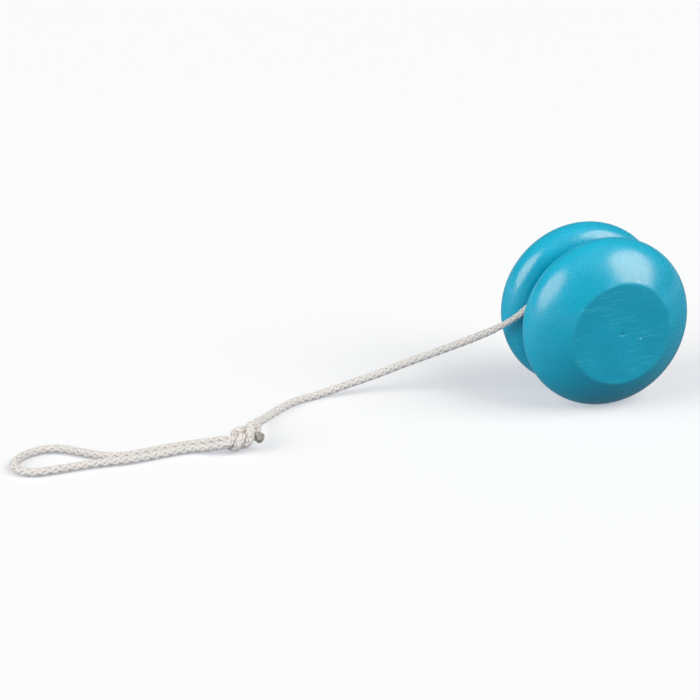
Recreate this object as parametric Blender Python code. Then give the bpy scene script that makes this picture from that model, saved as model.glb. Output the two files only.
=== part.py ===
"""A turned wooden yo-yo standing on its two rims, with its cord led out to a finger loop.

Metres, +Z up. The origin is on the surface that the yo-yo stands on, under its centre.
The axle lies along Y, the front half is on the -Y side, and the cord leaves towards -X.
"""

import math

import bmesh
import bpy
from mathutils import Matrix, Vector

# The two turned halves
RIM_RADIUS = 0.026
HALF_WIDTH = 0.020
GROOVE_HALF_GAP = 0.0024
LIP_WIDTH = 0.0062
LIP_HEIGHT = 0.0060
FACE_RADIUS = 0.0155
CENTRE_MARK_RADIUS = 0.0010
CENTRE_MARK_DEPTH = 0.0007
BORE_DEPTH = 0.0100

# The dowel that joins them
AXLE_RADIUS = 0.0040
AXLE_CHAMFER = 0.0006

# The cord and its winding
CORD_DIAMETER = 0.0026
WINDING_TURNS = 8
LANE_OFFSET = 0.00105

GAP = 0.0003
RIM_SEGMENTS = 96
LIP_STEPS = 7
SHOULDER_STEPS = 12
CORD_STEP = 0.0055
CORD_BEVEL_RESOLUTION = 2

CORD_RADIUS = CORD_DIAMETER / 2
AXIS_CENTRE = Vector((0, 0, RIM_RADIUS))
GROUND_LINE = CORD_RADIUS + 0.00005

# Neighbouring turns lie in two lanes side by side, so each one nests in the one below it.
TURN_RISE = math.sqrt(CORD_DIAMETER**2 - (2 * LANE_OFFSET) ** 2)
WINDING_RADIUS = AXLE_RADIUS + 2 * CORD_RADIUS + WINDING_TURNS * TURN_RISE

# From the winding, out of the groove, down to the ground and along it to the knot
RUN_ROUTE = [
    (-0.0201, 0.0002, 0.0304),
    (-0.0245, 0.0018, 0.0262),
    (-0.0288, 0.0048, 0.0224),
    (-0.0331, 0.0090, 0.0187),
    (-0.0384, 0.0122, 0.0155),
    (-0.0464, 0.0153, 0.0118),
    (-0.0548, 0.0172, 0.0086),
    (-0.0635, 0.0181, 0.0056),
    (-0.0728, 0.0183, 0.0032),
    (-0.0820, 0.0174, GROUND_LINE),
    (-0.0890, 0.0148, GROUND_LINE),
    (-0.0946, 0.0108, GROUND_LINE),
    (-0.0988, 0.0070, GROUND_LINE),
    (-0.1024, 0.0023, 0.0020),
    (-0.1050, -0.0020, 0.0033),
    (-0.1074, -0.0053, 0.0041),
    (-0.1092, -0.0077, 0.0044),
]

# Out of the knot, round the finger loop and back into the knot
LOOP_ROUTE = [
    (-0.1177, -0.0112, 0.0032),
    (-0.1215, -0.0090, 0.0020),
    (-0.1265, -0.0076, GROUND_LINE),
    (-0.1325, -0.0082, GROUND_LINE),
    (-0.1385, -0.0093, GROUND_LINE),
    (-0.1438, -0.0101, GROUND_LINE),
    (-0.1483, -0.0095, GROUND_LINE),
    (-0.1523, -0.0073, GROUND_LINE),
    (-0.1563, -0.0042, GROUND_LINE),
    (-0.1604, -0.0012, GROUND_LINE),
    (-0.1649, 0.0002, GROUND_LINE),
    (-0.1690, -0.0008, GROUND_LINE),
    (-0.1723, -0.0032, GROUND_LINE),
    (-0.1742, -0.0066, GROUND_LINE),
    (-0.1741, -0.0102, GROUND_LINE),
    (-0.1720, -0.0129, GROUND_LINE),
    (-0.1686, -0.0141, GROUND_LINE),
    (-0.1648, -0.0140, GROUND_LINE),
    (-0.1600, -0.0135, GROUND_LINE),
    (-0.1545, -0.0130, GROUND_LINE),
    (-0.1490, -0.0130, GROUND_LINE),
    (-0.1438, -0.0131, GROUND_LINE),
    (-0.1385, -0.0124, GROUND_LINE),
    (-0.1325, -0.0113, GROUND_LINE),
    (-0.1265, -0.0107, GROUND_LINE),
    (-0.1216, -0.0124, 0.0020),
    (-0.1183, -0.0144, 0.0031),
]

# The cut end that sticks out of the knot
TAIL_ROUTE = [
    (-0.1071, -0.0120, 0.0032),
    (-0.1057, -0.0123, 0.0027),
    (-0.1046, -0.0126, 0.0023),
]

KNOT_CENTRE = Vector((-0.1124, -0.0120, 0.0040))
KNOT_SEMI_AXES = (0.0050, 0.0043, 0.0039)
KNOT_TURN = math.radians(20)

TURQUOISE_PAINT = (0.006, 0.262, 0.392)
BARE_WOOD = (0.62, 0.43, 0.25)
UNDYED_COTTON = (0.68, 0.66, 0.63)


def clear_scene():
    for old in list(bpy.data.objects):
        bpy.data.objects.remove(old)


def principled(name, colour, roughness):
    material = bpy.data.materials.new(name)
    material.use_nodes = True
    shader = material.node_tree.nodes["Principled BSDF"]
    shader.inputs["Base Color"].default_value = (*colour, 1)
    shader.inputs["Roughness"].default_value = roughness
    shader.inputs["Metallic"].default_value = 0
    material.diffuse_color = (*colour, 1)
    return material


def add_object(name, data, material, parent=None):
    data.materials.append(material)
    piece = bpy.data.objects.new(name, data)
    piece.parent = parent
    bpy.context.collection.objects.link(piece)
    return piece


def add_empty(name, location):
    empty = bpy.data.objects.new(name, None)
    empty.location = location
    bpy.context.collection.objects.link(empty)
    return empty


def turned(name, outline, closed, segments=RIM_SEGMENTS):
    """Mesh turned round the Y axis from (radius, place along Y) points.

    An open outline starts and ends on the axis. A closed one makes a ring.
    """
    mesh = bpy.data.meshes.new(name)
    bm = bmesh.new()
    verts = [bm.verts.new((radius, along, 0)) for radius, along in outline]
    pairs = list(zip(verts, verts[1:]))
    if closed:
        pairs.append((verts[-1], verts[0]))
    edges = [bm.edges.new(pair) for pair in pairs]
    bmesh.ops.spin(
        bm,
        geom=verts + edges,
        cent=(0, 0, 0),
        axis=(0, 1, 0),
        angle=math.tau,
        steps=segments,
        use_merge=True,
    )
    bmesh.ops.remove_doubles(bm, verts=bm.verts, dist=1e-6)
    bmesh.ops.recalc_face_normals(bm, faces=bm.faces)
    bm.to_mesh(mesh)
    bm.free()
    mesh.shade_smooth()
    mesh.set_sharp_from_angle(angle=math.radians(25))
    return mesh


def lip_points():
    """The rounding from the groove's flat wall up to the rim."""
    points = []
    for step in range(LIP_STEPS + 1):
        angle = step / LIP_STEPS * math.pi / 2
        radius = RIM_RADIUS - LIP_HEIGHT * (1 - math.sin(angle))
        along = GROOVE_HALF_GAP + LIP_WIDTH * (1 - math.cos(angle))
        points.append((radius, along))
    return points


def shoulder_points():
    """The parabola from the rim down to the edge of the flat face."""
    points = []
    start = GROOVE_HALF_GAP + LIP_WIDTH
    for step in range(1, SHOULDER_STEPS + 1):
        share = step / SHOULDER_STEPS
        radius = RIM_RADIUS - (RIM_RADIUS - FACE_RADIUS) * share**2
        points.append((radius, start + (HALF_WIDTH - start) * share))
    return points


def half_outline(side):
    """One half from the floor of its bore, round the rim, to the mark at the face's centre."""
    bore_radius = AXLE_RADIUS + GAP
    bore_floor = GROOVE_HALF_GAP + BORE_DEPTH
    points = [(0, bore_floor), (bore_radius, bore_floor), (bore_radius, GROOVE_HALF_GAP)]
    points += lip_points()
    points += shoulder_points()
    points.append((CENTRE_MARK_RADIUS, HALF_WIDTH))
    points.append((0, HALF_WIDTH - CENTRE_MARK_DEPTH))
    return [(radius, side * along) for radius, along in points]


def axle_outline():
    end = GROOVE_HALF_GAP + BORE_DEPTH - GAP
    neck = end - AXLE_CHAMFER
    tip_radius = AXLE_RADIUS - AXLE_CHAMFER
    return [
        (0, -end),
        (tip_radius, -end),
        (AXLE_RADIUS, -neck),
        (AXLE_RADIUS, neck),
        (tip_radius, end),
        (0, end),
    ]


def winding_outline():
    """A ring that fills the groove from the axle to the top of the last turn."""
    inner = AXLE_RADIUS + GAP
    half_width = GROOVE_HALF_GAP - GAP
    corner = CORD_RADIUS / 2
    return [
        (inner, -half_width),
        (WINDING_RADIUS - corner, -half_width),
        (WINDING_RADIUS, corner - half_width),
        (WINDING_RADIUS, half_width - corner),
        (WINDING_RADIUS - corner, half_width),
        (inner, half_width),
    ]


def blend_point(before, start, end, after, share):
    """A point on the Catmull-Rom curve between start and end."""
    square = share * share
    cube = square * share
    bend = 2 * before - 5 * start + 4 * end - after
    twist = 3 * start - before - 3 * end + after
    return 0.5 * (2 * start + (end - before) * share + bend * square + twist * cube)


def smooth_route(route):
    """Points about a step apart on one smooth curve through the route's points."""
    points = [Vector(point) for point in route]
    padded = [2 * points[0] - points[1], *points, 2 * points[-1] - points[-2]]
    smooth = []
    for before, start, end, after in zip(padded, padded[1:], padded[2:], padded[3:]):
        count = max(1, round((end - start).length / CORD_STEP))
        for step in range(count):
            smooth.append(blend_point(before, start, end, after, step / count))
    smooth.append(points[-1])
    return smooth


def cord_tube(name, route, material):
    curve = bpy.data.curves.new(name, "CURVE")
    curve.dimensions = "3D"
    curve.bevel_depth = CORD_RADIUS
    curve.bevel_resolution = CORD_BEVEL_RESOLUTION
    curve.use_fill_caps = True
    points = smooth_route(route)
    spline = curve.splines.new("POLY")
    spline.points.add(len(points) - 1)
    for target, point in zip(spline.points, points):
        target.co = (*point, 1)
    spline.use_smooth = True
    return add_object(name, curve, material)


def knot_mesh(name):
    """The rounded outer shape of an overhand knot tied in the doubled cord."""
    mesh = bpy.data.meshes.new(name)
    bm = bmesh.new()
    shape = Matrix.Rotation(KNOT_TURN, 4, "Z") @ Matrix.Diagonal((*KNOT_SEMI_AXES, 1))
    bmesh.ops.create_uvsphere(bm, u_segments=24, v_segments=14, radius=1, matrix=shape)
    bm.to_mesh(mesh)
    bm.free()
    mesh.shade_smooth()
    return mesh


def build_spool():
    paint = principled("turquoise_paint", TURQUOISE_PAINT, 0.32)
    wood = principled("bare_wood", BARE_WOOD, 0.6)
    axis = add_empty("spool_axis", AXIS_CENTRE)
    for name, side in (("front_half", -1), ("rear_half", 1)):
        add_object(name, turned(name, half_outline(side), closed=False), paint, axis)
    add_object("axle_dowel", turned("axle_dowel", axle_outline(), False, 48), wood, axis)


def build_string():
    cotton = principled("undyed_cotton", UNDYED_COTTON, 0.9)
    hub = add_empty("winding_axis", AXIS_CENTRE)
    ring = turned("cord_winding", winding_outline(), closed=True, segments=64)
    add_object("cord_winding", ring, cotton, hub)
    cord_tube("cord_run", RUN_ROUTE, cotton)
    cord_tube("finger_loop", LOOP_ROUTE, cotton)
    cord_tube("cord_tail", TAIL_ROUTE, cotton)
    knot = add_object("cord_knot", knot_mesh("cord_knot"), cotton)
    knot.location = KNOT_CENTRE


clear_scene()
build_spool()
build_string()
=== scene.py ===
"""Looks of a painted wooden yo-yo and its braided cord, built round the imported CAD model.

Metres, +Z up, in the CAD model's own frame. The axle lies along Y, the front half is on the -Y
side, and the cord leads out towards -X.
"""

import math

import bmesh
import bpy
import numpy as np
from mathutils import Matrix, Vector


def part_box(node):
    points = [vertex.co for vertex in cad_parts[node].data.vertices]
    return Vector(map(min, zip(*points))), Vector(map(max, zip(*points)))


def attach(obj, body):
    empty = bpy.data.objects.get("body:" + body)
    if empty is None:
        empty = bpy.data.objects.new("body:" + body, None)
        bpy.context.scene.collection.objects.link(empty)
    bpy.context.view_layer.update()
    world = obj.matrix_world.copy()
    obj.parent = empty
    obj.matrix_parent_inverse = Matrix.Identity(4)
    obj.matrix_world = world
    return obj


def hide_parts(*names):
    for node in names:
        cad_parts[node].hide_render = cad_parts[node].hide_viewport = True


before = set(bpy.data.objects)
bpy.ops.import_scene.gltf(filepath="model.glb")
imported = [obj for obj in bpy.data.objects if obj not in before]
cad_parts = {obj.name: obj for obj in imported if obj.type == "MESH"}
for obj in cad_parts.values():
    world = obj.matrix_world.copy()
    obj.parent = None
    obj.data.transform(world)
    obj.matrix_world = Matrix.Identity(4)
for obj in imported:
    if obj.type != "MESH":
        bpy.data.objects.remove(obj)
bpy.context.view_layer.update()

MM = 0.001

# Driving sizes read from the frame
FRONT_LOW, FRONT_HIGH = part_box("front_half")
DOWEL_LOW, DOWEL_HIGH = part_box("axle_dowel")
RIM_RADIUS = (FRONT_HIGH.z - FRONT_LOW.z) / 2
HALF_WIDTH = -FRONT_LOW.y
GROOVE_HALF_GAP = -FRONT_HIGH.y
AXLE_RADIUS = (DOWEL_HIGH.z - DOWEL_LOW.z) / 2
AXIS_CENTRE = Vector((0, 0, (FRONT_LOW.z + FRONT_HIGH.z) / 2))

# The turned halves, as the CAD outline has them, with the edge of the face eased
LIP_WIDTH = 6.2 * MM
LIP_HEIGHT = 6.0 * MM
FACE_RADIUS = 15.5 * MM
FACE_EDGE_EASE = 0.4 * MM
DIMPLE_RADIUS = 0.9 * MM
DIMPLE_DEPTH = 0.32 * MM
GLUE_GAP = 0.3 * MM
BORE_DEPTH = 10 * MM
BORE_RADIUS = AXLE_RADIUS + GLUE_GAP
BORE_FLOOR = GROOVE_HALF_GAP + BORE_DEPTH

# How finely the halves are made
TURNED_SEGMENTS = 256
WALL_STEPS = 8
LIP_STEPS = 24
SHOULDER_STEPS = 60
EDGE_STEPS = 8
FACE_STEPS = 14
DIMPLE_STEPS = 6
MERGE_DISTANCE = 1e-7
SHARP_ANGLE = math.radians(40)

# The paint: how the grain and the scratches slope, where the small blemish is, and the colours,
# one of them a painted glint for that blemish
GRAIN_TILT = math.radians(12)
SCRATCH_TILT = math.radians(4)
GLINT_BLEMISH_PLACE = (6.0 * MM, -HALF_WIDTH, 24.0 * MM)
PAINT_DEEP = (0.0020, 0.352, 0.550)
PAINT_PALE = (0.0030, 0.380, 0.590)
PAINT_WORN = (0.045, 0.47, 0.66)
PAINT_SCRATCHED = (0.04, 0.51, 0.71)
PAINTED_GLINT_COLOUR = (0.16, 0.70, 0.88)
PAINT_GLOSS_TINT = (1.0, 0.80, 0.70, 1)

# The wood of the axle
WOOD_DARK = (0.42, 0.27, 0.14)
WOOD_PALE = (0.66, 0.47, 0.28)
WOOD_BAND = (0.5, 0.33, 0.18)

# The cotton
COTTON_SHADED = (0.51, 0.505, 0.51)
COTTON_PALE = (0.635, 0.63, 0.64)
COTTON_HANDLED = (0.64, 0.595, 0.585)
# Painted shade, laid on the tail's cut end
COTTON_CUT_END_SHADE = (0.26, 0.25, 0.215)

# The cord
CORD_DIAMETER = 2.6 * MM
CORD_RADIUS = CORD_DIAMETER / 2
GROUND_CLEARANCE = 0.05 * MM
GROUND_LINE = CORD_RADIUS + GROUND_CLEARANCE
CURVE_STEPS = 24
EASING_ROUNDS = 6

# The winding: two lanes of turns that nest into each other
WINDING_TURNS = 8
LANE_OFFSET = 1.05 * MM
TURN_RISE = math.sqrt(CORD_DIAMETER**2 - (2 * LANE_OFFSET) ** 2)
FIRST_TURN_RADIUS = AXLE_RADIUS + CORD_RADIUS
LAST_TURN_RADIUS = FIRST_TURN_RADIUS + WINDING_TURNS * TURN_RISE
STEPS_PER_TURN = 72
LANE_SHARPNESS = 9
LEAVING_TURNS = 0.08

# From the winding, out of the groove, down to the ground and along it to the knot
RUN_ROUTE = [
    (-0.0201, 0.0002, 0.0304),
    (-0.0245, 0.0018, 0.0262),
    (-0.0288, 0.0048, 0.0224),
    (-0.0331, 0.0090, 0.0187),
    (-0.0384, 0.0122, 0.0155),
    (-0.0464, 0.0153, 0.0118),
    (-0.0548, 0.0172, 0.0086),
    (-0.0635, 0.0181, 0.0056),
    (-0.0728, 0.0183, 0.0032),
    (-0.0820, 0.0174, GROUND_LINE),
    (-0.0890, 0.0148, GROUND_LINE),
    (-0.0946, 0.0108, GROUND_LINE),
    (-0.0988, 0.0070, GROUND_LINE),
    (-0.1024, 0.0023, 0.0020),
    (-0.1050, -0.0020, 0.0033),
    (-0.1074, -0.0053, 0.0041),
    (-0.1092, -0.0077, 0.0044),
]

# Out of the knot, round the finger loop and back into the knot
LOOP_ROUTE = [
    (-0.1177, -0.0112, 0.0032),
    (-0.1215, -0.0090, 0.0020),
    (-0.1265, -0.0076, GROUND_LINE),
    (-0.1325, -0.0082, GROUND_LINE),
    (-0.1385, -0.0093, GROUND_LINE),
    (-0.1438, -0.0101, GROUND_LINE),
    (-0.1483, -0.0095, GROUND_LINE),
    (-0.1523, -0.0073, GROUND_LINE),
    (-0.1563, -0.0042, GROUND_LINE),
    (-0.1604, -0.0012, GROUND_LINE),
    (-0.1649, 0.0002, GROUND_LINE),
    (-0.1690, -0.0008, GROUND_LINE),
    (-0.1723, -0.0032, GROUND_LINE),
    (-0.1742, -0.0066, GROUND_LINE),
    (-0.1741, -0.0102, GROUND_LINE),
    (-0.1720, -0.0129, GROUND_LINE),
    (-0.1686, -0.0141, GROUND_LINE),
    (-0.1648, -0.0140, GROUND_LINE),
    (-0.1600, -0.0135, GROUND_LINE),
    (-0.1545, -0.0130, GROUND_LINE),
    (-0.1490, -0.0130, GROUND_LINE),
    (-0.1438, -0.0131, GROUND_LINE),
    (-0.1385, -0.0124, GROUND_LINE),
    (-0.1325, -0.0113, GROUND_LINE),
    (-0.1265, -0.0107, GROUND_LINE),
    (-0.1216, -0.0124, 0.0020),
    (-0.1183, -0.0144, 0.0031),
]

# Where the simulated knot takes over from each route
RUN_LAST = 14
LOOP_FIRST = 0
LOOP_LAST = len(LOOP_ROUTE) - 1

# The overhand knot, pulled tight by a short simulation
KNOT_CENTRE = np.array((-0.1112, -0.0118, 0.0037))
KNOT_AXIS = (1, 0.36, 0)
KNOT_TURN = math.radians(120)
KNOT_SPAN = 2.1
KNOT_SAMPLES = 400
KNOT_STRETCH = 0.42
STRAND_OFFSET = 0.55
KNOT_NODES = 110
KNOT_ROUNDS = 1500
KNOT_PASSES = 4
KNOT_TIGHTENING = 0.0014
KNOT_NODE_STEP = 0.25 * MM
KNOT_SPRING = 0.45
KNOT_CONTACT = 0.85 * CORD_DIAMETER
KNOT_OWN_GAP = 1.6
KNOT_PUSH = 1.6
KNOT_START_HEIGHT = 18 * MM
KNOT_BEND = 0.15
KNOT_LANDING = 0.7
KNOT_SQUEEZE = 0.01
KNOT_CENTRING = 0.05
KNOT_MIDDLE = (0.3, 0.7)
NECK_REACH = 1.6 * MM

# The tail, and the cut end that closes it
TAIL_AIM = (-0.1004, -0.0196, 0.0002)
TAIL_REACH = 5.5 * MM
TAIL_END = (-0.1060, -0.0149, 0.0038)
TAIL_FLARE = 0.5
TAIL_ROUNDING = 0.42
TAIL_FLARE_LENGTH = 2.6 * MM
CUT_RADIUS = 1.16 * MM
CUT_HEIGHT = 0.5 * MM
CUT_RINGS = 5
CUT_SIDES = 24
CUT_UV_PER_METRE = 400

# The braid: four yarns each way round, one over and one under
BRAID_LAY = 11.1 * MM
YARNS_EACH_WAY = 4
YARN_ORBIT = 0.82 * MM
YARN_WEAVE = 0.15 * MM
WEAVE_SHARPNESS = 1.3
YARN_HALF_WIDTH = 0.74 * MM
YARN_HALF_THICKNESS = 0.33 * MM
FINE_STEP = 0.2 * MM
WOUND_STEP = 0.5 * MM
YARN_SIDES = 8
WOUND_SIDES = 6
YARN_UV_PER_METRE = 100
YARN_UV_SHIFT = 7.3

# Where the cord is drawn thinner: how far past the winding, over what length, and how much
DRAWN_PLACE = 19.3 * MM
DRAWN_LENGTH = 6 * MM
DRAWN_DEPTH = 0.24

# The camera, placed as the photograph was taken
CAMERA_PLACE = (-0.18551, -0.38118, 0.17381)
CAMERA_AIM = (0.2565, 0.8979, -0.3578)
CAMERA_LENS = 75.13

# The floor, which glows a little so that it comes out nearly white
FLOOR_RADIUS = 6
FLOOR_GREY = (0.45, 0.45, 0.45, 1)
FLOOR_GLOW = (0.965, 1.0, 1.08, 1)
FLOOR_GLOW_STRENGTH = 0.42

# Each light's name, where it comes from, how wide it looks in degrees, and its strength
WARM_LIGHT = (1.0, 0.965, 0.885)
SOFTBOXES = (
    ("softbox_right", (0.59, -0.46, 0.67), 44, 0.90),
    ("softbox_left", (-0.84, -0.15, 0.51), 46, 0.74),
    ("softbox_above", (0.1, -0.3, 1.0), 60, 0.08),
)
LOW_SOFTBOX = ("softbox_low", (-0.93, 0.30, 0.0), 60, 0.19)

# What the floor throws back, for the cord alone and for the halves alone
FLOOR_LIGHT = (1.0, 0.985, 0.965)
CORD_BOUNCES = (
    ("floor_bounce_front", (-0.26, -0.90, -0.45), 100, 0.34),
    ("floor_bounce_back", (0.30, 0.90, -0.35), 100, 0.40),
)
PAINT_FILL = ("paint_fill", (-0.90, 0.05, -0.42), 70, 0.16)
CORD_PIECES = ("braided_cord", "finger_loop_braid", "overhand_knot")
HALF_PIECES = ("painted_front", "painted_rear")

# Light from the world at each height of its direction: downwards -1, level 0, upwards 1
WORLD_BANDS = (
    (-1.0, 0.18),
    (-0.06, 0.22),
    (-0.04, 0.60),
    (0.05, 0.60),
    (0.12, 0.10),
    (1.0, 0.22),
)
WORLD_TINT = (0.93, 1.0, 1.08)


# ---------------------------------------------------------------- camera

def make_camera():
    data = bpy.data.cameras.new("camera")
    data.lens = CAMERA_LENS
    data.sensor_width = 36
    data.clip_start = 0.01
    data.clip_end = 20
    camera = bpy.data.objects.new("camera", data)
    camera.location = CAMERA_PLACE
    camera.rotation_euler = Vector(CAMERA_AIM).to_track_quat("-Z", "Y").to_euler()
    bpy.context.collection.objects.link(camera)
    bpy.context.scene.camera = camera


# ---------------------------------------------------------------- lines in space

def lengths_along(points):
    """How far along the line each of its points is."""
    steps = np.linalg.norm(np.diff(points, axis=0), axis=1)
    return np.concatenate(([0.0], np.cumsum(steps)))


def resampled(points, step=None, count=None):
    """The same line with evenly spaced points."""
    along = lengths_along(points)
    if count is None:
        count = max(2, round(along[-1] / step) + 1)
    places = np.linspace(0, along[-1], count)
    return np.stack([np.interp(places, along, points[:, axis]) for axis in range(3)], 1)


def smooth_route(route, first, last):
    """Dense points on the Catmull-Rom curve through a route, between two of its points."""
    points = np.array(route, float)
    padded = np.vstack((2 * points[0] - points[1], points, 2 * points[-1] - points[-2]))
    share = np.linspace(0, 1, CURVE_STEPS, endpoint=False)[:, None]
    pieces = []
    for index in range(first, last):
        before, start, end, after = padded[index : index + 4]
        bend = 2 * before - 5 * start + 4 * end - after
        twist = 3 * start - before - 3 * end + after
        curve = 2 * start + (end - before) * share + bend * share**2 + twist * share**3
        pieces.append(0.5 * curve)
    pieces.append(points[last : last + 1])
    return np.vstack(pieces)


def unit(vectors):
    return vectors / np.linalg.norm(vectors, axis=-1, keepdims=True)


def line_frames(points):
    """Tangent, normal and side vectors that follow the line without twisting."""
    tangents = unit(np.gradient(points, axis=0))
    normals = np.zeros_like(points)
    normal = np.cross(tangents[0], (0.0, 1.0, 0.0))
    for index, tangent in enumerate(tangents):
        normal = normal - (normal @ tangent) * tangent
        normal = normal / np.linalg.norm(normal)
        normals[index] = normal
    return tangents, normals, np.cross(tangents, normals)


# ---------------------------------------------------------------- the winding on the axle

def leaving_angle():
    """Where the last turn meets the straight line to the run's first point."""
    target = Vector((RUN_ROUTE[0][0], RUN_ROUTE[0][2])) - Vector((0, AXIS_CENTRE.z))
    reach = math.acos(LAST_TURN_RADIUS / target.length)
    return math.atan2(target.y, target.x) - reach


def lane_share(turns_past):
    """+1 or -1: the side of the groove that a turn lies on, changed over at the bottom."""
    return math.tanh(LANE_SHARPNESS * math.sin(math.pi * turns_past))


def winding_line():
    """The spiral of the wound cord, from the axle to where it leaves its last turn."""
    count = WINDING_TURNS * STEPS_PER_TURN
    angle_out = leaving_angle()
    crossing = (angle_out + math.pi / 2) / math.tau
    points = []
    for step in range(count + 1):
        turns = WINDING_TURNS * step / count
        angle = angle_out - math.tau * (WINDING_TURNS - turns)
        radius = FIRST_TURN_RADIUS + TURN_RISE * turns
        leaving = max(0.0, 1 - (WINDING_TURNS - turns) / LEAVING_TURNS)
        lane = LANE_OFFSET * lane_share(turns - crossing) * (1 - leaving)
        across = radius * math.cos(angle)
        height = AXIS_CENTRE.z + radius * math.sin(angle)
        points.append((across, lane, height))
    return np.array(points)


# ---------------------------------------------------------------- the knot

def loose_knot():
    """Two strands side by side along a long, open overhand knot above its place."""
    axis = unit(np.array(KNOT_AXIS, float))
    level = np.cross((0.0, 0.0, 1.0), axis)
    upright = np.array((0.0, 0.0, 1.0))
    side = math.cos(KNOT_TURN) * level + math.sin(KNOT_TURN) * upright
    rise = math.cos(KNOT_TURN) * upright - math.sin(KNOT_TURN) * level
    t = np.linspace(-KNOT_SPAN, KNOT_SPAN, KNOT_SAMPLES)[:, None]
    shape = (t**3 - 3 * t) * side
    shape = shape + (t**4 - 4 * t**2 + 2) * rise
    shape = shape + KNOT_STRETCH * (t**5 - 10 * t) * axis
    line = KNOT_CENTRE + (0, 0, KNOT_START_HEIGHT) + CORD_DIAMETER * shape
    tangents = unit(np.gradient(line, axis=0))
    normal = level
    offsets = []
    for tangent in tangents:
        normal = normal - (normal @ tangent) * tangent
        normal = normal / np.linalg.norm(normal)
        offsets.append(normal * STRAND_OFFSET * CORD_DIAMETER)
    offsets = np.array(offsets)
    return line - offsets, line + offsets


def spread(count, where, moves):
    """Each node's share of a list of moves."""
    total = np.zeros((count, 3))
    np.add.at(total, where, moves)
    return total


def pull_tight(strands, held):
    """Shortens both strands step by step, while they push each other and the ground away."""
    count = len(strands[0])
    nodes = np.vstack(strands)
    starts = np.concatenate((np.arange(count - 1), np.arange(count - 1) + count))
    inner = np.concatenate((np.arange(1, count - 1), np.arange(1, count - 1) + count))
    first, second = np.triu_indices(2 * count, 1)
    apart = (first < count) != (second < count)
    place = np.arange(2 * count) % count
    middle = (place > KNOT_MIDDLE[0] * count) & (place < KNOT_MIDDLE[1] * count)
    rest = lengths_along(strands[0])[-1] / (count - 1)
    for number in range(KNOT_ROUNDS):
        rest = max(rest * (1 - KNOT_TIGHTENING), KNOT_NODE_STEP)
        for _ in range(KNOT_PASSES):
            gaps = nodes[starts + 1] - nodes[starts]
            size = np.linalg.norm(gaps, axis=1, keepdims=True)
            moves = KNOT_SPRING * (size - rest) / size * gaps
            nodes += spread(2 * count, starts, moves) - spread(2 * count, starts + 1, moves)
            hold_ends(nodes, held, rest)
        nodes[inner] += KNOT_BEND * ((nodes[inner - 1] + nodes[inner + 1]) / 2 - nodes[inner])
        far_along = (second - first) * rest > KNOT_OWN_GAP * CORD_DIAMETER
        push_apart(nodes, first, second, apart | far_along)
        centre = nodes[middle].mean(axis=0)
        lift = KNOT_START_HEIGHT * max(0, 1 - number / (KNOT_LANDING * KNOT_ROUNDS))
        nodes[middle] += KNOT_SQUEEZE * (centre - nodes[middle])
        nodes[middle] += KNOT_CENTRING * (KNOT_CENTRE + (0, 0, lift) - centre)
        nodes[:, 2] = np.maximum(nodes[:, 2], GROUND_LINE)
        hold_ends(nodes, held, rest)
    return nodes[:count], nodes[count:]


def hold_ends(nodes, held, rest):
    """Keeps each held node in its place, and its neighbour in line with the cord outside."""
    for index, neighbour, place, heading in held:
        nodes[index] = place
        if heading is not None:
            nodes[neighbour] = place + rest * heading


def push_apart(nodes, first, second, may_touch):
    """Moves every two nodes that are closer than the cord is thick away from each other."""
    gaps = nodes[second] - nodes[first]
    squares = (gaps**2).sum(axis=1)
    touching = may_touch & (squares < KNOT_CONTACT**2)
    one, other = first[touching], second[touching]
    size = np.sqrt(squares[touching])[:, None] + 1e-9
    moves = 0.5 * (size - KNOT_CONTACT) / size * gaps[touching]
    total = spread(len(nodes), one, moves) - spread(len(nodes), other, moves)
    hits = np.bincount(one, minlength=len(nodes)) + np.bincount(other, minlength=len(nodes))
    nodes += KNOT_PUSH * total / np.maximum(hits, 1)[:, None]


def knot_lines():
    """Centrelines of the standing strand and of the tail strand, both from the neck on."""
    loop, run = np.array(LOOP_ROUTE), np.array(RUN_ROUTE)
    run_end = run[RUN_LAST]
    headings = [
        unit(loop[LOOP_FIRST] - loop[LOOP_FIRST + 1]),
        unit(loop[LOOP_LAST] - loop[LOOP_LAST - 1]),
        unit(run[RUN_LAST] - run[RUN_LAST - 1]),
    ]
    neck_out = loop[LOOP_FIRST] + NECK_REACH * headings[0]
    neck_back = loop[LOOP_LAST] + NECK_REACH * headings[1]
    standing, tail = loose_knot()
    standing = resampled(np.vstack((neck_out, standing, run_end)), count=KNOT_NODES)
    tail = resampled(np.vstack((neck_back, tail, TAIL_AIM)), count=KNOT_NODES)
    last = KNOT_NODES - 1
    held = [
        (0, 1, neck_out, headings[0]),
        (last, last - 1, run_end, headings[2]),
        (last + 1, last + 2, neck_back, headings[1]),
        (2 * KNOT_NODES - 1, None, np.array(TAIL_AIM), None),
    ]
    standing, tail = pull_tight((standing, tail), held)
    reach = np.linalg.norm(tail - KNOT_CENTRE, axis=1)
    beyond = np.nonzero((reach > TAIL_REACH) & (np.arange(KNOT_NODES) > KNOT_NODES / 2))[0]
    return standing, tail[: beyond[0] + 1]


# ---------------------------------------------------------------- the whole cord

def whole_cord():
    """One line from the axle to the cut end, and the indices where its pieces meet."""
    standing, tail = knot_lines()
    wound = resampled(winding_line(), step=WOUND_STEP)
    run = smooth_route(RUN_ROUTE, 0, RUN_LAST)
    run = resampled(np.vstack((wound[-1:], run)), step=FINE_STEP)
    loop = smooth_route(LOOP_ROUTE, LOOP_FIRST, LOOP_LAST)
    sections = [
        wound,
        run,
        resampled(standing[::-1], step=FINE_STEP),
        resampled(loop, step=FINE_STEP),
        resampled(tail, step=FINE_STEP),
    ]
    points = sections[0]
    joints = []
    for section in sections[1:]:
        joints.append(len(points) - 1)
        points = np.vstack((points, section[1:]))
    return eased(points, joints[0]), joints


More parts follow.
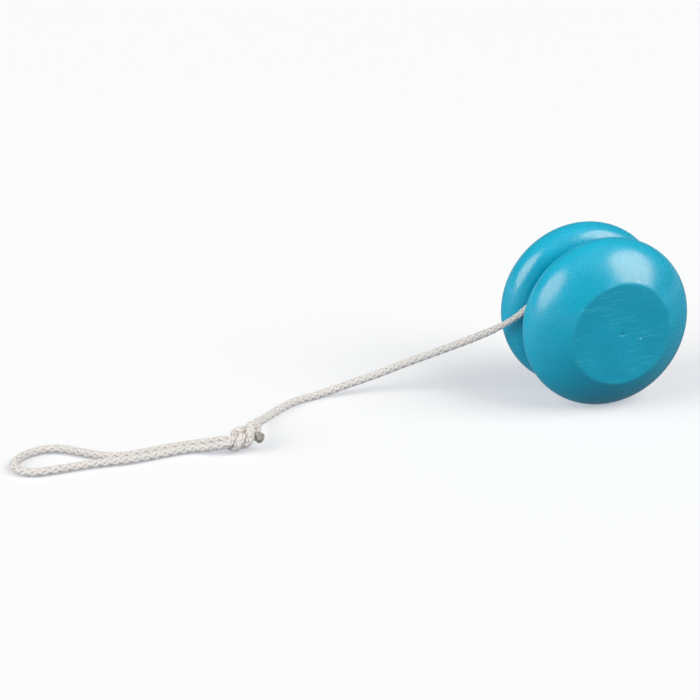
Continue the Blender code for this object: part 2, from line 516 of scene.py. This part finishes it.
def eased(points, first):
    """Rounds off what is left of the corners between nodes, past the wound part."""
    points = points.copy()
    for _ in range(EASING_ROUNDS):
        middle = (points[first:-2] + points[first + 2 :]) / 2
        points[first + 1 : -1] += 0.5 * (middle - points[first + 1 : -1])
    return points


def yarn_line(direction, number, along):
    """Angle round the cord and distance from its middle, for one yarn of the braid."""
    angle = direction * math.tau * along / BRAID_LAY + math.tau * number / YARNS_EACH_WAY
    wave = np.cos(2 * YARNS_EACH_WAY * math.pi * along / BRAID_LAY)
    lift = np.tanh(WEAVE_SHARPNESS * wave) / math.tanh(WEAVE_SHARPNESS)
    return angle, YARN_ORBIT + direction * YARN_WEAVE * lift


def braid_mesh(name, cord, part, sides=YARN_SIDES, swell=None):
    """Eight flattened yarns over and under each other, along one part of the cord."""
    points, normals, across, along = (values[part] for values in cord)
    count = len(points)
    swell = np.ones(count) if swell is None else swell
    turn = np.arange(sides) / sides * math.tau
    verts, faces, uvs, lifts = [], [], [], []
    for direction in (1, -1):
        for number in range(YARNS_EACH_WAY):
            angle, orbit = yarn_line(direction, number, along)
            around = angle[:, None] + YARN_HALF_WIDTH * np.cos(turn) / orbit[:, None]
            radius = (orbit[:, None] + YARN_HALF_THICKNESS * np.sin(turn)) * swell[:, None]
            ring = points[:, None] + radius[..., None] * (
                np.cos(around)[..., None] * normals[:, None]
                + np.sin(around)[..., None] * across[:, None]
            )
            base = len(verts) * count * sides
            verts.append(ring.reshape(-1, 3))
            lifts.append((radius / CORD_RADIUS).reshape(-1))
            faces.append(tube_faces(count, sides, base, direction < 0))
            uvs.append(tube_uvs(count, sides, along, direction * (number + 1)))
    return mesh_from(name, np.vstack(verts), faces, uvs, np.concatenate(lifts))


def tube_faces(count, sides, base, flip):
    """The quads between rings of verts, as indices from base on."""
    rows = np.arange(count - 1)[:, None] * sides
    here = np.arange(sides)[None]
    there = (here + 1) % sides
    quads = np.stack((rows + here, rows + there, rows + sides + there, rows + sides + here), -1)
    quads = quads.reshape(-1, 4) + base
    return quads[:, ::-1] if flip else quads


def tube_uvs(count, sides, along, shift):
    """u goes once round the yarn, v along it in centimetres, moved on for each yarn."""
    here = np.arange(sides)[None] / sides
    there = here + 1 / sides
    low, high = along[:-1, None], along[1:, None]
    corners_u = np.stack(np.broadcast_arrays(here, there, there, here), -1)
    corners_v = np.stack(np.broadcast_arrays(low, low, high, high), -1)
    corners_u = np.broadcast_to(corners_u, (count - 1, sides, 4))
    corners_v = np.broadcast_to(corners_v, (count - 1, sides, 4))
    corners_v = YARN_UV_PER_METRE * corners_v + YARN_UV_SHIFT * shift
    return np.stack((corners_u, corners_v), -1).reshape(-1, 4, 2)


def mesh_from(name, verts, faces, uvs, lifts):
    mesh = bpy.data.meshes.new(name)
    faces = np.vstack(faces)
    mesh.from_pydata(verts, [], faces)
    layer = mesh.uv_layers.new(name="yarn")
    layer.data.foreach_set("uv", np.vstack(uvs).astype(np.float32).ravel())
    lift = mesh.attributes.new("lift", "FLOAT", "POINT")
    lift.data.foreach_set("value", lifts.astype(np.float32))
    mesh.update()
    mesh.validate()
    mesh.shade_smooth()
    return mesh


def add_piece(name, mesh, body, material):
    piece = bpy.data.objects.new(name, mesh)
    mesh.materials.append(material)
    bpy.context.collection.objects.link(piece)
    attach(piece, body)
    return piece


def build_cord(cotton):
    points, joints = whole_cord()
    tangents, normals, across = line_frames(points)
    along = lengths_along(points)
    cord = (points, normals, across, along)

    run_mesh = winding_and_run(cord, joints)
    run = add_piece("braided_cord", run_mesh, "string", cotton)
    loop_mesh = braid_mesh("finger_loop_braid", cord, slice(joints[2], joints[3] + 1))
    loop = add_piece("finger_loop_braid", loop_mesh, "string", cotton)
    knot_meshes = [
        braid_mesh("standing", cord, slice(joints[1], joints[2] + 1)),
        tail_braid(cord, joints[3]),
        cut_end(points[-1], tangents[-1], normals[-1], across[-1]),
    ]
    knot_mesh = joined_meshes("overhand_knot", knot_meshes)
    knot = add_piece("overhand_knot", knot_mesh, "string", cotton)
    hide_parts("cord_winding", "cord_run")
    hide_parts("finger_loop")
    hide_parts("cord_knot", "cord_tail")


def winding_and_run(cord, joints):
    """The wound part in coarser rings and the free run in fine ones, as one mesh."""
    along = cord[-1]
    wound, free = slice(0, joints[0] + 1), slice(joints[0], joints[1] + 1)
    past = (along[free] - along[joints[0]] - DRAWN_PLACE) / DRAWN_LENGTH
    drawn = 1 - DRAWN_DEPTH * np.exp(-(past**2))
    parts = [
        braid_mesh("wound", cord, wound, sides=WOUND_SIDES),
        braid_mesh("free", cord, free, swell=drawn),
    ]
    return joined_meshes("braided_cord", parts)


def tail_braid(cord, start):
    """The tail, spread wider towards its cut end and rounded in again at the very end."""
    along = cord[-1]
    left = (along[-1] - along[start:]) / TAIL_FLARE_LENGTH
    near = np.clip(1 - left, 0, 1)
    flare = 1 + TAIL_FLARE * near - TAIL_ROUNDING * near**5
    return braid_mesh("tail", cord, slice(start, None), swell=flare)


def cut_end(centre, tangent, normal, across):
    """The blunt cut end: a low dome of fibres that closes the braid."""
    bm = bmesh.new()
    rings = []
    for step in range(CUT_RINGS):
        rise = step / CUT_RINGS * math.pi / 2
        ring = []
        for side in range(CUT_SIDES):
            turn = side / CUT_SIDES * math.tau
            spoke = math.cos(turn) * normal + math.sin(turn) * across
            place = centre + CUT_RADIUS * math.cos(rise) * spoke
            ring.append(bm.verts.new(place + CUT_HEIGHT * math.sin(rise) * tangent))
        rings.append(ring)
    tip = bm.verts.new(centre + CUT_HEIGHT * tangent)
    for side in range(CUT_SIDES):
        following = (side + 1) % CUT_SIDES
        for lower, upper in zip(rings, rings[1:]):
            bm.faces.new((lower[side], lower[following], upper[following], upper[side]))
        bm.faces.new((rings[-1][side], rings[-1][following], tip))
    bm.faces.new(rings[0][::-1])
    layer = bm.loops.layers.uv.new("yarn")
    for face in bm.faces:
        for loop in face.loops:
            offset = np.array(loop.vert.co) - centre
            loop[layer].uv = [CUT_UV_PER_METRE * (offset @ side) for side in (normal, across)]
    mesh = bpy.data.meshes.new("cut_end")
    bm.to_mesh(mesh)
    bm.free()
    return mesh


def joined_meshes(name, meshes):
    """One mesh of several, which are used up."""
    bm = bmesh.new()
    for mesh in meshes:
        bm.from_mesh(mesh)
        bpy.data.meshes.remove(mesh)
    joined = bpy.data.meshes.new(name)
    bm.to_mesh(joined)
    bm.free()
    joined.shade_smooth()
    return joined


# ---------------------------------------------------------------- the turned halves

def lip_points():
    """The quarter of an ellipse from the groove's wall out to the rim."""
    points = []
    for step in range(LIP_STEPS + 1):
        angle = step / LIP_STEPS * math.pi / 2
        radius = RIM_RADIUS - LIP_HEIGHT * (1 - math.sin(angle))
        points.append((radius, GROOVE_HALF_GAP + LIP_WIDTH * (1 - math.cos(angle))))
    return points


def shoulder_points():
    """The parabola from the rim to the face, and the eased edge where they meet."""
    start = GROOVE_HALF_GAP + LIP_WIDTH
    points = []
    for step in range(1, SHOULDER_STEPS):
        share = step / SHOULDER_STEPS
        radius = RIM_RADIUS - (RIM_RADIUS - FACE_RADIUS) * share**2
        along = start + (HALF_WIDTH - start) * share
        if radius > FACE_RADIUS + FACE_EDGE_EASE:
            points.append((radius, along))
    before = Vector(points[-1])
    corner = Vector((FACE_RADIUS, HALF_WIDTH))
    after = Vector((FACE_RADIUS - FACE_EDGE_EASE, HALF_WIDTH))
    for step in range(1, EDGE_STEPS + 1):
        share = step / EDGE_STEPS
        points.append(tuple(before.lerp(corner, share).lerp(corner.lerp(after, share), share)))
    return points


def face_points():
    """The flat face, down into the small mark that the lathe's centre left."""
    points = []
    for step in range(1, FACE_STEPS + 1):
        share = step / FACE_STEPS
        radius = (FACE_RADIUS - FACE_EDGE_EASE) * (1 - share) + DIMPLE_RADIUS * share
        points.append((radius, HALF_WIDTH))
    for step in range(1, DIMPLE_STEPS + 1):
        share = step / DIMPLE_STEPS
        sink = DIMPLE_DEPTH * (1 - math.cos(share * math.pi)) / 2
        points.append((DIMPLE_RADIUS * (1 - share), HALF_WIDTH - sink))
    return points


def wall_points():
    """The bore and the flat wall of the groove."""
    points = [(0, BORE_FLOOR), (BORE_RADIUS, BORE_FLOOR)]
    for step in range(WALL_STEPS):
        share = step / WALL_STEPS
        radius = BORE_RADIUS * (1 - share) + (RIM_RADIUS - LIP_HEIGHT) * share
        points.append((radius, GROOVE_HALF_GAP))
    return points


def turned_mesh(name, outline):
    """The outline, as (radius, place along the axle) points, turned about the axle."""
    mesh = bpy.data.meshes.new(name)
    bm = bmesh.new()
    verts = [bm.verts.new((radius, along, 0)) for radius, along in outline]
    edges = [bm.edges.new(pair) for pair in zip(verts, verts[1:])]
    bmesh.ops.spin(
        bm, geom=verts + edges, cent=(0, 0, 0), axis=(0, 1, 0),
        angle=math.tau, steps=TURNED_SEGMENTS, use_merge=True,
    )
    bmesh.ops.remove_doubles(bm, verts=bm.verts, dist=MERGE_DISTANCE)
    bmesh.ops.recalc_face_normals(bm, faces=bm.faces)
    bmesh.ops.translate(bm, verts=bm.verts, vec=AXIS_CENTRE)
    bm.to_mesh(mesh)
    bm.free()
    mesh.shade_smooth()
    mesh.set_sharp_from_angle(angle=SHARP_ANGLE)
    return mesh


def build_halves(paint):
    outline = wall_points() + lip_points() + shoulder_points() + face_points()
    for name, node, side in zip(HALF_PIECES, ("front_half", "rear_half"), (-1, 1)):
        mesh = turned_mesh(name, [(radius, side * along) for radius, along in outline])
        half = add_piece(name, mesh, "spool", paint)
        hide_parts(node)


# ---------------------------------------------------------------- materials

class Nodes:
    """Short forms for building a material's node tree."""

    def __init__(self, name):
        self.material = bpy.data.materials.new(name)
        self.material.use_nodes = True
        self.tree = self.material.node_tree
        self.shader = self.tree.nodes["Principled BSDF"]

    def add(self, kind, **values):
        node = self.tree.nodes.new("ShaderNode" + kind)
        for key, value in values.items():
            setattr(node, key, value)
        return node

    def link(self, source, target):
        self.tree.links.new(source, target)

    def coordinates(self):
        return self.add("TexCoord").outputs["Object"]

    def mapped(self, source, scale=(1, 1, 1), rotation=(0, 0, 0)):
        node = self.add("Mapping")
        self.link(source, node.inputs["Vector"])
        node.inputs["Scale"].default_value = scale
        node.inputs["Rotation"].default_value = rotation
        return node.outputs["Vector"]

    def noise(self, source, scale, detail=4.0, roughness=0.5, distortion=0.0):
        node = self.add("TexNoise")
        self.link(source, node.inputs["Vector"])
        node.inputs["Scale"].default_value = scale
        node.inputs["Detail"].default_value = detail
        node.inputs["Roughness"].default_value = roughness
        node.inputs["Distortion"].default_value = distortion
        return node.outputs["Fac"]

    def ramp(self, source, stops):
        node = self.add("ValToRGB")
        self.link(source, node.inputs["Fac"])
        ramp = node.color_ramp
        while len(ramp.elements) < len(stops):
            ramp.elements.new(0.5)
        for element, (place, colour) in zip(ramp.elements, stops):
            element.position = place
            element.color = (*colour, 1)
        return node.outputs["Color"]

    def range(self, source, before, after):
        """The value carried over from one span of numbers to another, and held at its ends."""
        node = self.add("MapRange")
        self.link(source, node.inputs["Value"])
        for key, value in zip(("From Min", "From Max", "To Min", "To Max"), (*before, *after)):
            node.inputs[key].default_value = value
        return node.outputs["Result"]

    def maths(self, operation, first, second=None, third=None):
        node = self.add("Math", operation=operation)
        for socket, value in zip(node.inputs, (first, second, third)):
            if value is None:
                continue
            if isinstance(value, (int, float)):
                socket.default_value = value
            else:
                self.link(value, socket)
        return node.outputs["Value"]

    def mix(self, share, first, second):
        node = self.add("Mix", data_type="RGBA")
        for name, value in (("Factor", share), ("A", first), ("B", second)):
            kind = "VALUE" if name == "Factor" else "RGBA"
            socket = next(s for s in node.inputs if s.name == name and s.type == kind)
            if isinstance(value, (int, float)):
                socket.default_value = value
            elif isinstance(value, tuple):
                socket.default_value = (*value, 1)
            else:
                self.link(value, socket)
        return next(s for s in node.outputs if s.type == "RGBA")

    def tinted(self, colour, mask, strength, tint):
        """The colour, moved towards a tint by a share of the mask."""
        return self.mix(self.maths("MULTIPLY", mask, strength), colour, tint)

    def brightened(self, colour, value):
        node = self.add("HueSaturation")
        self.link(colour, node.inputs["Color"])
        self.link(value, node.inputs["Value"])
        return node.outputs["Color"]

    def distance(self, source, point):
        node = self.add("VectorMath", operation="DISTANCE")
        self.link(source, node.inputs[0])
        node.inputs[1].default_value = point
        return node.outputs["Value"]

    def spot(self, source, point, inner, outer):
        """1 within a small ball, fading to 0 at its edge."""
        return self.range(self.distance(source, point), (inner, outer), (1.0, 0.0))

    def parts(self, source):
        node = self.add("SeparateXYZ")
        self.link(source, node.inputs["Vector"])
        return node.outputs

    def edge_band(self, source):
        """1 on the two creases where the shoulders meet the faces, 0 away from them."""
        parts = self.parts(source)
        across = self.maths("ABSOLUTE", parts["Y"])
        height = self.maths("SUBTRACT", parts["Z"], AXIS_CENTRE.z)
        squares = self.maths("MULTIPLY", parts["X"], parts["X"])
        radius = self.maths("SQRT", self.maths("MULTIPLY_ADD", height, height, squares))
        miss = self.maths("ABSOLUTE", self.maths("SUBTRACT", radius, FACE_RADIUS))
        ring = self.range(miss, (0.2 * MM, 0.9 * MM), (1.0, 0.0))
        outer = self.range(across, (0.9 * HALF_WIDTH, 0.97 * HALF_WIDTH), (0.0, 1.0))
        return self.maths("MULTIPLY", ring, outer)

    def face_share(self, source):
        """1 on the two flat outer faces, and only a little on the shoulders beyond them."""
        across = self.maths("ABSOLUTE", self.parts(source)["Y"])
        return self.range(across, (HALF_WIDTH - 0.6 * MM, HALF_WIDTH - 0.1 * MM), (0.12, 1.0))

    def bump(self, height, strength, distance, normal=None):
        node = self.add("Bump")
        self.link(height, node.inputs["Height"])
        node.inputs["Strength"].default_value = strength
        node.inputs["Distance"].default_value = distance
        if normal is not None:
            self.link(normal, node.inputs["Normal"])
        return node.outputs["Normal"]

    def set(self, name, value):
        """A number or a colour goes on the shader's own socket, anything else is linked to it."""
        socket = self.shader.inputs[name]
        if isinstance(value, (int, float, tuple)):
            socket.default_value = value
        else:
            self.link(value, socket)


def paint_material():
    """Satin turquoise paint, thin enough for the wood's grain to show through it."""
    nodes = Nodes("turquoise_paint")
    place = nodes.coordinates()
    turned = nodes.mapped(place, rotation=(0, -GRAIN_TILT, 0))
    grain_space = nodes.mapped(turned, scale=(0.06, 1, 1))
    grain = nodes.noise(grain_space, scale=1500, detail=5, roughness=0.6, distortion=0.3)
    streaks = nodes.noise(grain_space, scale=380, detail=4, roughness=0.6)
    clouds = nodes.noise(place, scale=70, detail=3)
    stipple = nodes.noise(place, scale=1500, detail=4, roughness=0.7)

    # Fine scratches come in patches on the flat faces, and the creases round them are worn
    scuffed = nodes.mapped(place, rotation=(0, SCRATCH_TILT, 0))
    rubbed = nodes.noise(nodes.mapped(scuffed, scale=(0.04, 1, 1)), scale=1700, detail=2)
    patches = nodes.range(nodes.noise(place, scale=110, detail=2), (0.44, 0.54), (0.0, 1.0))
    scratches = nodes.maths("MULTIPLY", patches, nodes.range(rubbed, (0.56, 0.64), (0.0, 1.0)))
    scratches = nodes.maths("MULTIPLY", scratches, nodes.face_share(place))
    uneven = nodes.range(streaks, (0.4, 0.65), (0.1, 1.0))
    wear = nodes.maths("MULTIPLY", nodes.edge_band(place), uneven)
    # A small blemish on a face: a real bump, whose glint is painted in as a lighter spot of
    # colour
    blemish_and_glint = nodes.spot(place, GLINT_BLEMISH_PLACE, 0.25 * MM, 0.50 * MM)

    colour = nodes.ramp(streaks, [(0.3, PAINT_DEEP), (0.7, PAINT_PALE)])
    colour = nodes.tinted(colour, wear, 0.35, PAINT_WORN)
    colour = nodes.tinted(colour, scratches, 0.55, PAINT_SCRATCHED)
    # Painted glint: the blemish's spot is turned a lighter blue
    colour = nodes.tinted(colour, blemish_and_glint, 0.8, PAINTED_GLINT_COLOUR)
    brightness = nodes.range(clouds, (0.3, 0.7), (0.94, 1.06))
    nodes.set("Base Color", nodes.brightened(colour, brightness))

    gloss = nodes.range(stipple, (0.38, 0.62), (0.14, 0.38))
    gloss = nodes.maths("ADD", gloss, nodes.range(clouds, (0.3, 0.7), (-0.02, 0.02)))
    nodes.set("Roughness", nodes.maths("SUBTRACT", gloss, nodes.maths("MULTIPLY", wear, 0.05)))
    nodes.set("IOR", 1.5)
    nodes.set("Specular IOR Level", 0.70)
    nodes.set("Specular Tint", PAINT_GLOSS_TINT)

    normal = nodes.bump(stipple, 0.30, 0.03 * MM)
    normal = nodes.bump(grain, 0.22, 0.05 * MM, normal)
    normal = nodes.bump(streaks, 0.12, 0.12 * MM, normal)
    normal = nodes.bump(scratches, 0.6, 0.06 * MM, normal)
    nodes.set("Normal", nodes.bump(blemish_and_glint, 0.8, 0.15 * MM, normal))
    return nodes.material


def wood_material():
    """Bare hardwood with its fibres along the dowel."""
    nodes = Nodes("axle_wood")
    place = nodes.coordinates()
    along = nodes.mapped(place, scale=(1, 0.06, 1))
    fibres = nodes.noise(along, scale=2200, detail=5, roughness=0.6)
    bands = nodes.noise(along, scale=700, detail=2)
    colour = nodes.ramp(fibres, [(0.3, WOOD_DARK), (0.7, WOOD_PALE)])
    colour = nodes.mix(nodes.range(bands, (0.35, 0.65), (0.0, 0.5)), colour, WOOD_BAND)
    nodes.set("Base Color", colour)
    nodes.set("Roughness", nodes.range(fibres, (0.3, 0.7), (0.55, 0.75)))
    nodes.set("Normal", nodes.bump(fibres, 0.4, 0.1 * MM))
    return nodes.material


def cotton_material():
    """Off-white braided cotton: fine fibres along each yarn, and painted shade that darkens it
    down in the gaps.
    """
    nodes = Nodes("braided_cotton")
    uv = nodes.add("UVMap", uv_map="yarn").outputs["UV"]
    place = nodes.coordinates()
    fibre_space = nodes.mapped(uv, scale=(9, 1.6, 1))
    fibres = nodes.noise(fibre_space, scale=3.0, detail=4, roughness=0.6)
    plies = nodes.add("TexWave", wave_type="BANDS", bands_direction="DIAGONAL")
    nodes.link(nodes.mapped(uv, scale=(3.0, 14, 1)), plies.inputs["Vector"])
    plies.inputs["Scale"].default_value = 0.35
    plies.inputs["Distortion"].default_value = 0.6

    # Warmer in patches and where the knot is handled, and darkened at the cut end by painted
    # shade
    patches = nodes.noise(place, scale=160, detail=3)
    warm = nodes.range(patches, (0.4, 0.7), (0.0, 0.45))
    near_knot = nodes.spot(place, tuple(KNOT_CENTRE), 3.5 * MM, 8 * MM)
    handled = nodes.maths("MULTIPLY", near_knot, 0.7)
    cut_end_shade = nodes.spot(place, TAIL_END, 2.2 * MM, 3.4 * MM)

    colour = nodes.ramp(fibres, [(0.25, COTTON_SHADED), (0.7, COTTON_PALE)])
    colour = nodes.mix(nodes.maths("MAXIMUM", warm, handled), colour, COTTON_HANDLED)
    colour = nodes.tinted(colour, cut_end_shade, 0.85, COTTON_CUT_END_SHADE)
    # Painted shade: the yarns are darkened where they lie low, down in the gaps between them
    lift = nodes.add("Attribute", attribute_name="lift").outputs["Fac"]
    gap_shade = nodes.range(lift, (0.45, 0.92), (0.90, 1.0))
    nodes.set("Base Color", nodes.brightened(colour, gap_shade))
    nodes.set("Roughness", nodes.range(fibres, (0.3, 0.7), (0.72, 0.9)))
    nodes.set("Sheen Weight", 0.25)
    nodes.set("Sheen Roughness", 0.4)
    height = nodes.bump(plies.outputs["Fac"], 0.5, 0.08 * MM)
    height = nodes.bump(fibres, 0.5, 0.06 * MM, height)
    nodes.set("Normal", height)
    return nodes.material


# ---------------------------------------------------------------- floor and light

def build_floor():
    """A wide pale disc that takes shadows but isn't mirrored in the paint."""
    mesh = bpy.data.meshes.new("floor")
    bm = bmesh.new()
    bmesh.ops.create_circle(bm, cap_ends=True, radius=FLOOR_RADIUS, segments=64)
    bm.to_mesh(mesh)
    bm.free()
    floor = bpy.data.objects.new("floor", mesh)
    nodes = Nodes("floor")
    nodes.set("Base Color", FLOOR_GREY)
    nodes.set("Emission Color", FLOOR_GLOW)
    nodes.set("Emission Strength", FLOOR_GLOW_STRENGTH)
    nodes.set("Roughness", 0.9)
    nodes.set("Specular IOR Level", 0.1)
    mesh.materials.append(nodes.material)
    bpy.context.collection.objects.link(floor)
    floor.visible_glossy = False
    floor.visible_diffuse = False


def add_softbox(name, direction, spread_angle, strength, colour=WARM_LIGHT):
    """A large, distant light: as soft as its angle, and even over the whole floor."""
    data = bpy.data.lights.new(name, "SUN")
    data.angle = math.radians(spread_angle)
    data.energy = strength * math.pi
    data.color = colour
    light = bpy.data.objects.new(name, data)
    light.rotation_euler = Vector(direction).to_track_quat("Z", "Y").to_euler()
    bpy.context.collection.objects.link(light)
    return light


def light_only(light, receivers, blockers):
    """Keep a light to some pieces, with only the given pieces able to shade them."""
    lit = bpy.data.collections.new(light.name + "_lit")
    shading = bpy.data.collections.new(light.name + "_shading")
    for group, names in ((lit, receivers), (shading, blockers)):
        for name in names:
            group.objects.link(bpy.data.objects[name])
    light.light_linking.receiver_collection = lit
    light.light_linking.blocker_collection = shading


def build_world():
    """Soft light from above, a bright band behind the floor's far edge, and dim below it."""
    world = bpy.data.worlds.new("studio")
    world.use_nodes = True
    tree = world.node_tree
    place = tree.nodes.new("ShaderNodeTexCoord")
    parts = tree.nodes.new("ShaderNodeSeparateXYZ")
    ramp = tree.nodes.new("ShaderNodeValToRGB")
    shift = tree.nodes.new("ShaderNodeMath")
    shift.operation = "MULTIPLY_ADD"
    shift.inputs[1].default_value = 0.5
    shift.inputs[2].default_value = 0.5
    elements = ramp.color_ramp.elements
    while len(elements) < len(WORLD_BANDS):
        elements.new(0.5)
    for element, (height, light) in zip(elements, WORLD_BANDS):
        element.position = 0.5 + 0.5 * height
        element.color = (*(share * light for share in WORLD_TINT), 1)
    tree.links.new(place.outputs["Generated"], parts.inputs["Vector"])
    tree.links.new(parts.outputs["Z"], shift.inputs[0])
    tree.links.new(shift.outputs["Value"], ramp.inputs["Fac"])
    tree.links.new(ramp.outputs["Color"], tree.nodes["Background"].inputs["Color"])
    bpy.context.scene.world = world


def build_light():
    build_world()
    for softbox in SOFTBOXES:
        add_softbox(*softbox)
    low = add_softbox(*LOW_SOFTBOX)
    low.visible_glossy = False
    for bounce in CORD_BOUNCES:
        light_only(add_softbox(*bounce, FLOOR_LIGHT), CORD_PIECES, CORD_PIECES + HALF_PIECES)
    fill = add_softbox(*PAINT_FILL, FLOOR_LIGHT)
    light_only(fill, HALF_PIECES, HALF_PIECES)
    fill.visible_glossy = False
    bpy.context.scene.view_settings.view_transform = "Standard"


# ---------------------------------------------------------------- all of it


make_camera()
build_cord(cotton_material())
build_halves(paint_material())
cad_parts["axle_dowel"].data.materials.clear()
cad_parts["axle_dowel"].data.materials.append(wood_material())
build_floor()
build_light()
